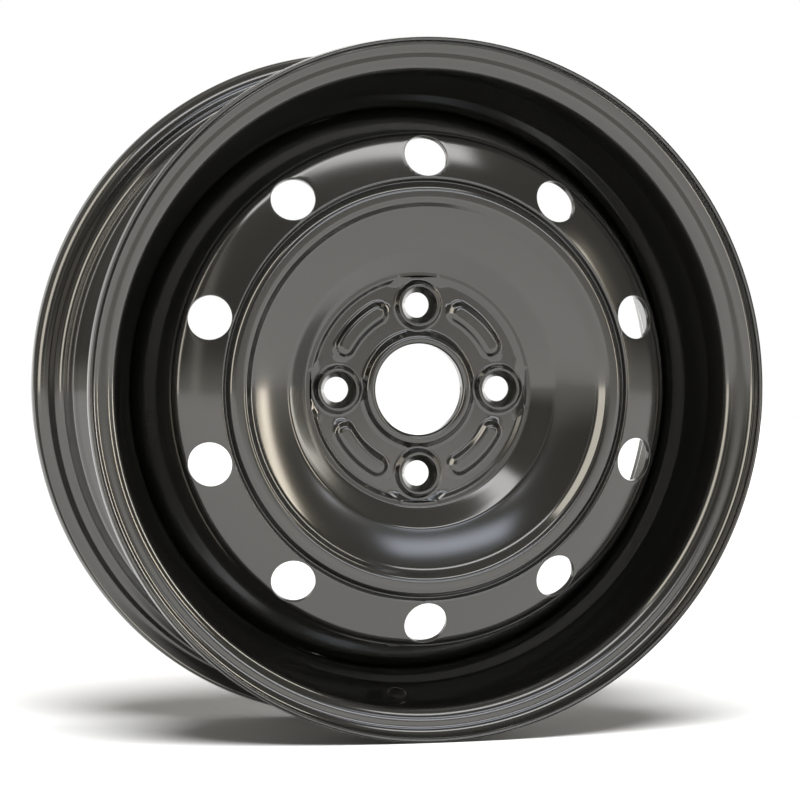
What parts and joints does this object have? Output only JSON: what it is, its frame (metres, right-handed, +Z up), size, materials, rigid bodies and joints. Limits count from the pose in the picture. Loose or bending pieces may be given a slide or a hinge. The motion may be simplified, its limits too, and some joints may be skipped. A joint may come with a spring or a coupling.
{
  "type": "steel wheel",
  "caption": "Pressed steel car wheel: rolled drop-centre rim welded to a domed disc with round vents, a centre bore and conical bolt seats, gloss black.",
  "frame": {"origin": "on the wheel's axle line, halfway between the two flanges (the rim's centre plane)", "axes": "Y is the axle: -Y points outboard (the face that is seen on the car), +Y points inboard towards the hub; +Z up, +X to the right when the outboard face is looked at"},
  "size_m": [0.4148, 0.1658, 0.4146],
  "materials": {
    "rim_paint": "gloss",
    "disc_paint": "gloss",
    "weld_paint": "gloss"
  },
  "bodies": {
    "root": {"rim": "rim_paint", "disc": "disc_paint", "disc_welds": "weld_paint"}
  },
  "joints": []
}
